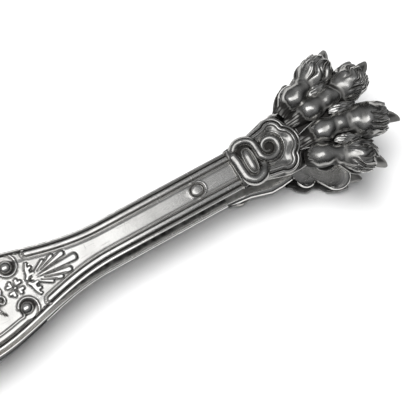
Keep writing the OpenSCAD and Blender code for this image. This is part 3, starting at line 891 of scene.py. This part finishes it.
# Painted shade on the palm under the toes, a painted highlight on its bare inner face, and the
# tufts made a little lighter
PALM_SHADE, PALM_FACE_HIGHLIGHT, TUFT_SHELTER = 1.0, -0.1, -0.06
TUFT_HALF, SINEW_HALF = 1.1, 0.16
TUFTS = (
    ((4.9, 5.4, 13.9), (10.0, 6.5, 13.9)),
    ((6.7, 0.9, 14.0), (12.4, 0.2, 14.0)),
    ((5.0, -4.4, 13.9), (10.3, -6.2, 13.9)),
)
SINEWS = (
    ((-1.0, 2.0, 12.4), (0.8, 3.3, 13.1), (3.2, 4.7, 13.4)),
    ((-0.6, -0.2, 12.6), (1.6, 0.4, 13.3), (4.4, 1.0, 13.6)),
    ((-1.6, -2.6, 12.4), (0.8, -3.4, 13.1), (4.0, -4.3, 13.4)),
)
UP = np.array([[0.0, 0.0, 1.0]])


def at_paw(points):
    """Points given from the cuff's front, at their place along the tongs."""
    return np.add(points, (WRIST_X, 0, 0))


def sweep_frame(spine):
    """Directions ahead, left and up along a spine."""
    ahead = np.gradient(spine, axis=0)
    ahead /= np.linalg.norm(ahead, axis=1)[:, None]
    left = np.cross((0, 0, 1), ahead)
    left /= np.linalg.norm(left, axis=1)[:, None]
    return ahead, left, np.cross(ahead, left)


def swept(spine, left, up, wide, tall):
    """Rings about a spine, so wide to its left and so tall upwards."""
    sideways = spine[:, None, :] + wide[..., None] * left[:, None, :]
    return sideways + tall[..., None] * up[:, None, :]


def toe_skin(index, fur_depth):
    """One toe: two smooth swellings and a furred ball, with a ragged sheath round the claw."""
    chance = np.random.default_rng(40 + index)
    phase = lambda: chance.uniform(0, 2 * np.pi)
    spine = spline(at_paw(TOES[index][:5]), TOE_STEPS)
    length = np.concatenate([[0], np.cumsum(np.linalg.norm(np.diff(spine, axis=0), axis=1))])
    first, middle, ball, rim = length[TOE_STEPS::TOE_STEPS]
    ahead, left, up = sweep_frame(spine)
    v = np.linspace(0, 2 * np.pi, 224, endpoint=False)
    s, v = np.meshgrid(length, v, indexing="ij")
    wander = 0.18 * np.sin(2 * v + phase()) + 0.12 * np.sin(3 * v + phase())
    total = (TOE_ROOT_R * (0.8 + 0.2 * smooth(0, first, s))) ** 5
    for (r, stretch), place in zip(SWELLINGS[index], (first, middle, ball)):
        blunt = np.where(s + wander > ball, BLUNT_END, 1.0)
        off = (s + wander - place) / stretch / blunt
        total = total + np.clip(r**2 - off**2, 0, None) ** 2.5
    r = total ** (1 / 5)
    r += 0.06 * sum(np.sin(k * v + phase()) * np.sin(0.9 * k * s + phase()) for k in (1, 2, 3))
    # fur: wavy locks that start past the ball's crown and run out over the rim
    past = (s - ball) / (rim - ball)
    bent = v + 0.2 * np.sin(2 * v + phase()) + 0.12 * np.sin(1.1 * s + 2 * v + phase())
    ragged = past + 0.3 * np.sin(3 * v + phase()) + 0.25 * np.sin(8 * v + phase())
    start = smooth(FUR_START[index], FUR_START[index] + FUR_GROWN, ragged)
    locks = np.abs(np.sin(7 * bent)) ** 0.7
    hairs = np.abs(np.sin(14 * bent + 0.6 * np.sin(2.3 * s + phase()) + phase()))
    uneven = 0.75 + 0.35 * np.sin(3 * v + 0.8 * s + phase())
    r -= fur_depth * start * uneven * (1.2 * (1 - locks) + 0.4 * (1 - hairs))
    teeth = 0.55 * np.abs(np.sin(4 * bent + 0.4)) ** 0.7 - 0.3
    drawn = 0.35 * (0.5 + 0.5 * np.cos(v)) * smooth(0.3, 1.0, past)
    forward = teeth * smooth(0.35, 1.0, past) - drawn
    stem = 1 - smooth(0.35 * first, 0.8 * first, s)
    sinews = np.abs(np.sin(6 * v + 0.7 * np.sin(3 * v + phase()) + 0.25 * s)) ** 0.6
    r -= SINEW_DEPTH * stem * (1 - sinews)
    squat = np.where(np.cos(v) < 0, 0.85 - 0.35 * smooth(middle, ball, s), 1.0)
    rings = swept(spine, left, up, r * np.sin(v), r * np.cos(v) * squat)
    rings = rings + forward[..., None] * ahead[:, None, :]
    # Painted shade darkens the toe's root
    root_shade = ROOT_SHADE * (1 - smooth(0.25 * first, 0.85 * first, s))
    lip = [
        spine[-1] + (rings[-1] - spine[-1]) * shrink + ahead[-1] * step
        for shrink, step in SHEATH_LIP
    ]
    rings = np.concatenate([rings, lip])
    high, worn = rings[..., 2], TOE_TOP - WORN_T
    rings[..., 2] = np.where(high > worn, worn + WORN_T * np.tanh((high - worn) / WORN_T), high)
    return loft(rings), np.append(root_shade, np.zeros(len(lip) * s.shape[1]))


def claw_skin(index):
    """A horn that leaves the toe along its line and hooks down to a point."""
    ball, rim, tip = at_paw(TOES[index][3:])
    toe_way = (rim - ball) / np.linalg.norm(rim - ball)
    root, bend = (rim + on * toe_way + above * UP[0] for on, above in (CLAW_ROOT, CLAW_BEND))
    t = np.linspace(0, 1, 50)[:, None]
    spine = (1 - t) ** 2 * root + 2 * t * (1 - t) * bend + t**2 * tip
    _, left, up = sweep_frame(spine)
    v = np.linspace(0, 2 * np.pi, 56, endpoint=False)
    r = CLAW_R * np.clip(1 - t**1.7, 0, 1) ** 0.9 + CLAW_TIP_R * t
    keel = 1 + 0.2 * np.clip(np.cos(v), 0, 1) ** 8
    flute = 1 - 0.08 * bell(np.abs(np.sin(v)) - 0.8, 0.12)
    return loft(swept(spine, left, up, r * 0.95 * np.sin(v) * flute, r * np.cos(v) * keel))


def palm_level(x, y):
    """Level of the palm's dome, x from the cuff's front."""
    return PALM_OUT + np.sqrt(PALM_R**2 - (x - PALM_X) ** 2 - y**2)


def palm_reach(turn):
    """How far the palm's fan reaches from its root at an angle."""
    way = np.array([math.cos(turn), math.sin(turn)])
    scallops = [*SCALLOPS, *[(x, -y, r) for x, y, r in reversed(SCALLOPS)]]
    ends = [(PALM_ROOT[0], side * PALM_ROOT_HALF) for side in (1, -1)]
    corners = np.array([ends[0], *[(x, y) for x, y, _ in scallops], ends[1]])
    reach = 0.0
    for a, b in zip(corners, corners[1:]):
        side, gap = b - a, a - PALM_ROOT
        cross = way[0] * side[1] - way[1] * side[0]
        if abs(cross) > 1e-9:
            far = (gap[0] * side[1] - gap[1] * side[0]) / cross
            share = (gap[0] * way[1] - gap[1] * way[0]) / cross
            if far > 0 and -1e-6 <= share <= 1 + 1e-6:
                reach = max(reach, far)
    for x, y, r in scallops:
        gap = np.array([x, y]) - PALM_ROOT
        along = gap @ way
        off = r**2 - (gap @ gap - along**2)
        if off > 0:
            reach = max(reach, along + math.sqrt(off))
    return reach


def palm_shell_skin():
    """The cupped palm: a fan with a smooth, rolled scallop under every toe."""
    angles = np.radians(np.linspace(-90, 90, 241))
    reach = np.array([palm_reach(turn) for turn in angles])
    ways = np.column_stack([np.cos(angles), np.sin(angles)])
    share = np.concatenate([[0.02], np.linspace(0.08, 0.9, 22), [0.94, 0.97, 0.985, 0.995, 1.0]])
    edge = 1 - share
    plan = PALM_ROOT + (reach[:, None] * share)[..., None] * ways[:, None]
    x, y = plan[..., 0], plan[..., 1]
    mid = palm_level(x, y) - PALM_T / 2
    half = PALM_T * np.sqrt(np.clip(1 - (1 - np.clip(edge / 0.07, 0, 1)) ** 2, 0.0, 1)) / 2
    bead = 0.35 * bell(edge - 0.06, 0.05)
    outer = np.stack([x, y, mid + half], axis=-1)
    inner = np.stack([x, y, mid - (half + bead)], axis=-1)
    return loft(at_paw(np.concatenate([outer, inner[:, ::-1]], axis=1)))


def tuft_skin(ends, chance):
    """A rough, leaf-shaped tuft of fur in the valley between two toes."""
    start, end = at_paw(ends)
    t = np.linspace(0, 1, 60)[:, None]
    spine = start + (end - start) * t
    left = sweep_frame(spine)[1]
    leaf = (np.sin(np.pi * (0.03 + 0.95 * t) ** 0.8)) ** 0.75
    around = np.linspace(0, 2 * np.pi, 64, endpoint=False)
    t, v = np.meshgrid(t.ravel(), around, indexing="ij")
    hair = np.abs(np.sin(4 * v + 0.8 * np.sin(6 * t + chance.uniform(0, 6)) + 3 * t))
    pits = np.sin(22 * t + 2 * np.sin(3 * v)) * np.sin(7 * v + 4 * t)
    r = TUFT_HALF * leaf * (1 - 0.16 * (1 - hair) + 0.07 * pits)
    return loft(swept(spine, left, UP, r * np.sin(v), 0.9 * r * np.cos(v)))


def sinew_skin(points):
    """A thin, keeled ridge along a line."""
    spine = spline(at_paw(points), 14)
    left = sweep_frame(spine)[1]
    v = np.linspace(0, 2 * np.pi, 20, endpoint=False)
    taper = np.sin(np.pi * np.linspace(0.06, 0.94, len(spine))) ** 0.5
    r = SINEW_HALF * taper[:, None]
    return loft(swept(spine, left, UP, r * np.sin(v), 1.7 * r * np.cos(v)))


def palm_skin():
    """The palm with the tufts and sinews between the toes, with painted shade where the toes cover
    it, a painted highlight on its bare inner face and the tufts a little lighter.
    """
    shell = palm_shell_skin()
    chance = np.random.default_rng(7)
    tufts = [tuft_skin(ends, chance) for ends in TUFTS]
    valley = joined(*tufts, *[sinew_skin(points) for points in SINEWS])
    x, y, out = shell[0].T
    covered = out > palm_level(x - WRIST_X, y) - PALM_T / 2
    # Painted shade on the palm where the toes cover it; a painted highlight on its bare inner face
    patina_shade_and_highlight = np.where(covered, PALM_SHADE, PALM_FACE_HIGHLIGHT)
    return joined(shell, valley), np.append(patina_shade_and_highlight, np.full(len(valley[0]), TUFT_SHELTER))


# The add-on

class TongsSizes(bpy.types.PropertyGroup):
    """Sizes of the arms and the paws."""

    arm_thickness: FloatProperty(
        name="Arm thickness", description="Thickness of an arm over its reeds", default=0.002,
        min=0.001, unit="LENGTH", subtype="DISTANCE")
    neck_width: FloatProperty(
        name="Neck width", description="Width of an arm beside its cuff", default=0.0078,
        min=0.004, unit="LENGTH", subtype="DISTANCE")
    shoulder_width: FloatProperty(
        name="Shoulder width", description="Width of an arm across its shoulder",
        default=0.0176, min=0.008, unit="LENGTH", subtype="DISTANCE")
    shoulder_place: FloatProperty(
        name="Shoulder place", description="Distance of the shoulder's middle from the bow",
        default=0.042, min=0.03, unit="LENGTH", subtype="DISTANCE")
    flare_length: FloatProperty(
        name="Flare length", description="Length over which the shoulder narrows to the neck",
        default=0.0295, min=0.01, unit="LENGTH", subtype="DISTANCE")
    fur_depth: FloatProperty(
        name="Fur depth", description="Depth of the grooves chased in a toe's fur",
        default=0.00045, min=0.0, unit="LENGTH", subtype="DISTANCE")


class TongsSilver(bpy.types.PropertyGroup):
    """Colours of the silver."""

    bright: FloatVectorProperty(
        name="Polished silver", description="Colour of the struck arms and the bow",
        default=(0.8, 0.79, 0.77), min=0, max=1, size=3, subtype="COLOR")
    cast: FloatVectorProperty(
        name="Cast silver", description="Colour of the cuffs, knots and paws",
        default=(0.47, 0.465, 0.45), min=0, max=1, size=3, subtype="COLOR")
    talon: FloatVectorProperty(
        name="Talon silver", description="Colour of the claws", default=(0.34, 0.335, 0.325),
        min=0, max=1, size=3, subtype="COLOR")
    # The highs' colour is partly real polish and partly a painted highlight; it also paints
    # highlights where a piece's mask is lightened
    shine: FloatVectorProperty(
        name="Polished highs", description="Colour of the highs that handling has polished",
        default=(0.93, 0.92, 0.9), min=0, max=1, size=3, subtype="COLOR")
    tarnish: FloatVectorProperty(
        name="Tarnish", description="Colour of cloudy tarnish", default=(0.46, 0.45, 0.43),
        min=0, max=1, size=3, subtype="COLOR")
    # The oxide colour is real oxide in recesses and also paints shade on steep sides and at set
    # places
    oxide: FloatVectorProperty(
        name="Oxide And Shade", description="Colour of the oxide in the recesses",
        default=(0.02, 0.019, 0.018), min=0, max=1, size=3, subtype="COLOR")


class TongsStage(bpy.types.PropertyGroup):
    """Floor, light and camera of the stage."""

    floor: FloatVectorProperty(
        name="Floor", description="Colour of the floor", default=(0.85, 0.85, 0.85),
        min=0, max=1, size=3, subtype="COLOR")
    key_power: FloatProperty(
        name="Key light", description="Power of the lamp that lights the table",
        default=2.3, min=0, subtype="POWER")
    sky: FloatProperty(
        name="Room light", description="Strength of the light from the room", default=0.25, min=0)
    camera_height: FloatProperty(
        name="Camera height", description="Height of the camera above the table", default=0.285,
        min=0.05, unit="LENGTH", subtype="DISTANCE")
    view_width: FloatProperty(
        name="View width", description="Width of the view at the object", default=0.0783,
        min=0.01, unit="LENGTH", subtype="DISTANCE")
    roll: FloatProperty(
        name="Roll", description="Angle at which the arm rises across the picture",
        default=math.radians(28.7), subtype="ANGLE", unit="ROTATION")


class TONGS_OT_bow(bpy.types.Operator):
    """Makes the two halves of the sprung bow"""

    bl_idname = "tongs.bow"
    bl_label = "Bow"

    def execute(self, context):
        skin, patina_shade_and_highlight = bow_skin(ArmLine(context.scene.tongs_sizes))
        material = bright_silver(context.scene.tongs_silver)
        pair = make_pair(
            "bow", skin, "bow_spring", material, ARM_EASING, patina_shade_and_highlight=patina_shade_and_highlight)
        for side, half in zip(SIDES, pair):
            crown, flex = placed([(BOW_X - HALF_H, 0, 0), (BOW_X, 0, HALF_H)], side)
            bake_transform(half)
        return {"FINISHED"}


class TONGS_OT_arms(bpy.types.Operator):
    """Makes the two struck arms"""

    bl_idname = "tongs.arms"
    bl_label = "Arms"

    def execute(self, context):
        skin, patina_shade_and_highlight = arm_skin(ArmLine(context.scene.tongs_sizes))
        material = bright_silver(context.scene.tongs_silver)
        ride_halves(make_pair(
            "struck_arm", skin, "arm", material, ARM_EASING, patina_shade_and_highlight=patina_shade_and_highlight))
        return {"FINISHED"}


class TONGS_OT_cuffs(bpy.types.Operator):
    """Makes the two cuffs with their shields"""

    bl_idname = "tongs.cuffs"
    bl_label = "Cuffs"

    def execute(self, context):
        material = cast_silver(context.scene.tongs_silver)
        skin, patina_shade_and_highlight = cuff_skin()
        ride_halves(make_pair(
            "shield_cuff", skin, "cuff", material,
            sides=CAST_SIDE_SHADE, patina_shade_and_highlight=patina_shade_and_highlight))
        return {"FINISHED"}


class TONGS_OT_knots(bpy.types.Operator):
    """Makes the two knotted straps with their bosses"""

    bl_idname = "tongs.knots"
    bl_label = "Knots"

    def execute(self, context):
        material = cast_silver(context.scene.tongs_silver)
        ride_halves(make_pair(
            "strap_knot", knot_skin(), "knot", material, sides=CAST_SIDE_SHADE))
        return {"FINISHED"}


class TONGS_OT_palms(bpy.types.Operator):
    """Makes the two cupped palms with the fur between the toes"""

    bl_idname = "tongs.palms"
    bl_label = "Palms"

    def execute(self, context):
        material = cast_silver(context.scene.tongs_silver)
        skin, patina_shade_and_highlight = palm_skin()
        ride_halves(make_pair(
            "cupped_palm", skin, "palm", material, patina_shade_and_highlight=patina_shade_and_highlight))
        return {"FINISHED"}


class TONGS_OT_toes(bpy.types.Operator):
    """Makes the eight furred toes"""

    bl_idname = "tongs.toes"
    bl_label = "Toes"

    def execute(self, context):
        material = cast_silver(context.scene.tongs_silver)
        depth = context.scene.tongs_sizes.fur_depth / MM
        for index in range(len(TOES)):
            skin, roots = toe_skin(index, depth)
            name, node = f"furred_toe_{index + 1}", f"toe_{index + 1}"
            ride_halves(make_pair(
                name, skin, node, material, TOE_EASING, TOE_SIDE_SHADE, roots))
        return {"FINISHED"}


class TONGS_OT_claws(bpy.types.Operator):
    """Makes the eight hooked claws"""

    bl_idname = "tongs.claws"
    bl_label = "Claws"

    def execute(self, context):
        material = talon_silver(context.scene.tongs_silver)
        for index in range(len(TOES)):
            skin = claw_skin(index)
            name, node = f"hooked_claw_{index + 1}", f"claw_{index + 1}"
            ride_halves(make_pair(name, skin, node, material, sides=CAST_SIDE_SHADE))
        return {"FINISHED"}


# Stage, in millimetres: the lamp that lights the table, and the white card that the silver mirrors
FLOOR_HALF = 3000
KEY_PLACE, KEY_SIZE = (-10, 45, 420), (120, 110)
CARD_PLACE, CARD_SIZE, CARD_BRIGHT = (-95, 10, 430), (240, 440), 1.35
LIGHT_AIM = (20, 0, 16)
CAMERA_PLACE, CAMERA_AIM = (-12, -25), (34.88, -3.05, 26)
PAPER_GLOW = 0.03
WINDOW_WAY = (-0.15, 0.15, 0.98)


def aimed(place, aim):
    """A turn that points an object's -Z from place to aim."""
    return (Vector(aim) - Vector(place)).to_track_quat("-Z", "Y")


def studio_world(strength):
    """A dim room, lighter overhead and towards the window side."""
    world = bpy.data.worlds.new("studio")
    world.use_nodes = True
    tree = world.node_tree
    back = tree.nodes["Background"]
    place = tree.nodes.new("ShaderNodeTexCoord")
    window = tree.nodes.new("ShaderNodeVectorMath")
    window.operation = "DOT_PRODUCT"
    window.inputs[1].default_value = WINDOW_WAY
    tree.links.new(place.outputs["Generated"], window.inputs[0])
    shade = ranged(tree, window.outputs["Value"], 0.1, 0.95, 0.08, 1.0)
    colour = tree.nodes.new("ShaderNodeCombineColor")
    for label, tint in (("Red", 0.99), ("Green", 1.0), ("Blue", 1.02)):
        tree.links.new(maths(tree, "MULTIPLY", shade, tint), colour.inputs[label])
    tree.links.new(colour.outputs["Color"], back.inputs["Color"])
    back.inputs["Strength"].default_value = strength
    return world


class TONGS_OT_stage(bpy.types.Operator):
    """Makes the floor, the lights and the camera"""

    bl_idname = "tongs.stage"
    bl_label = "Stage"

    def execute(self, context):
        scene, look = context.scene, context.scene.tongs_stage
        self.lay_floor(scene, look)
        key = self.add_lamp(scene, "table_softbox", KEY_PLACE, KEY_SIZE, look.key_power)
        key.visible_glossy = False
        card_area = CARD_SIZE[0] * CARD_SIZE[1] * MM**2
        card_power = CARD_BRIGHT * math.pi * card_area
        card = self.add_lamp(scene, "shoulder_card", CARD_PLACE, CARD_SIZE, card_power)
        card.visible_diffuse = False
        scene.world = studio_world(look.sky)
        self.set_camera(scene, look)
        scene.view_settings.view_transform = "Standard"
        return {"FINISHED"}

    def lay_floor(self, scene, look):
        """Lays white paper that glows a little where it is seen, straight or in the silver."""
        mesh = bpy.data.meshes.new("floor")
        half = FLOOR_HALF * MM
        corners = [(-half, -half, 0), (half, -half, 0), (half, half, 0), (-half, half, 0)]
        mesh.from_pydata(corners, [], [(0, 1, 2, 3)])
        paper = bpy.data.materials.new("white_paper")
        paper.use_nodes = True
        tree = paper.node_tree
        shader = tree.nodes["Principled BSDF"]
        shader.inputs["Roughness"].default_value = 0.9
        shader.inputs["Specular IOR Level"].default_value = 0.1
        shader.inputs["Base Color"].default_value = (*look.floor, 1)
        shader.inputs["Emission Color"].default_value = (1, 1, 1, 1)
        rays = tree.nodes.new("ShaderNodeLightPath").outputs
        seen = maths(tree, "MAXIMUM", rays["Is Camera Ray"], rays["Is Glossy Ray"])
        seen = maths(tree, "MAXIMUM", seen, rays["Is Transmission Ray"])
        glow = maths(tree, "MULTIPLY", seen, PAPER_GLOW)
        tree.links.new(glow, shader.inputs["Emission Strength"])
        mesh.materials.append(paper)
        floor = bpy.data.objects.new("floor", mesh)
        scene.collection.objects.link(floor)

    def add_lamp(self, scene, name, place, size, power):
        """Hangs a rectangular lamp that shines on the tongs."""
        lamp = bpy.data.lights.new(name, "AREA")
        lamp.shape = "RECTANGLE"
        lamp.energy, lamp.size, lamp.size_y = power, size[0] * MM, size[1] * MM
        hung = bpy.data.objects.new(name, lamp)
        hung.location = Vector(place) * MM
        hung.rotation_mode = "QUATERNION"
        hung.rotation_quaternion = aimed(place, LIGHT_AIM)
        scene.collection.objects.link(hung)
        return hung

    def set_camera(self, scene, look):
        """Sets the camera above the table, rolled so that the arm rises across the picture."""
        place = Vector((*CAMERA_PLACE, look.camera_height / MM)) * MM
        aim = Vector(CAMERA_AIM) * MM
        back = (place - aim).normalized()
        along = Vector((1, 0, 0))
        along = (along - along.dot(back) * back).normalized()
        across = back.cross(along)
        right = math.cos(look.roll) * along - math.sin(look.roll) * across
        up = math.sin(look.roll) * along + math.cos(look.roll) * across
        lens = bpy.data.cameras.new("camera")
        lens.sensor_width = 36
        lens.lens = lens.sensor_width * (place - aim).length / look.view_width
        lens.clip_start = 0.01
        camera = bpy.data.objects.new("camera", lens)
        turned = Matrix((right, up, back)).transposed().to_4x4()
        camera.matrix_world = Matrix.Translation(place) @ turned
        scene.collection.objects.link(camera)
        scene.camera = camera


class TONGS_PT_panel(bpy.types.Panel):
    """Sizes, colours and steps of the sugar tongs"""

    bl_idname = "TONGS_PT_panel"
    bl_label = "Sugar tongs"
    bl_space_type = "VIEW_3D"
    bl_region_type = "UI"
    bl_category = "Tongs"

    def draw(self, context):
        scene = context.scene
        for group in (scene.tongs_sizes, scene.tongs_silver, scene.tongs_stage):
            box = self.layout.box()
            for label in group.__annotations__:
                box.prop(group, label)
        for operator in OPERATORS:
            self.layout.operator(operator.bl_idname)


OPERATORS = (
    TONGS_OT_bow, TONGS_OT_arms, TONGS_OT_cuffs, TONGS_OT_knots,
    TONGS_OT_palms, TONGS_OT_toes, TONGS_OT_claws, TONGS_OT_stage,
)
CLASSES = (TongsSizes, TongsSilver, TongsStage) + OPERATORS + (TONGS_PT_panel,)


def register():
    """Adds the operators, the panel and the settings."""
    for cls in CLASSES:
        bpy.utils.register_class(cls)
    bpy.types.Scene.tongs_sizes = PointerProperty(type=TongsSizes)
    bpy.types.Scene.tongs_silver = PointerProperty(type=TongsSilver)
    bpy.types.Scene.tongs_stage = PointerProperty(type=TongsStage)


def unregister():
    """Takes the settings, the panel and the operators away again."""
    for name in ("tongs_sizes", "tongs_silver", "tongs_stage"):
        delattr(bpy.types.Scene, name)
    for cls in reversed(CLASSES):
        bpy.utils.unregister_class(cls)


def main():
    """Makes the tongs on their stage."""
    register()
    bpy.ops.tongs.bow()
    bpy.ops.tongs.arms()
    bpy.ops.tongs.cuffs()
    bpy.ops.tongs.knots()
    bpy.ops.tongs.palms()
    bpy.ops.tongs.toes()
    bpy.ops.tongs.claws()
    bpy.ops.tongs.stage()
    bpy.context.view_layer.update()


if __name__ == "__main__":
    main()
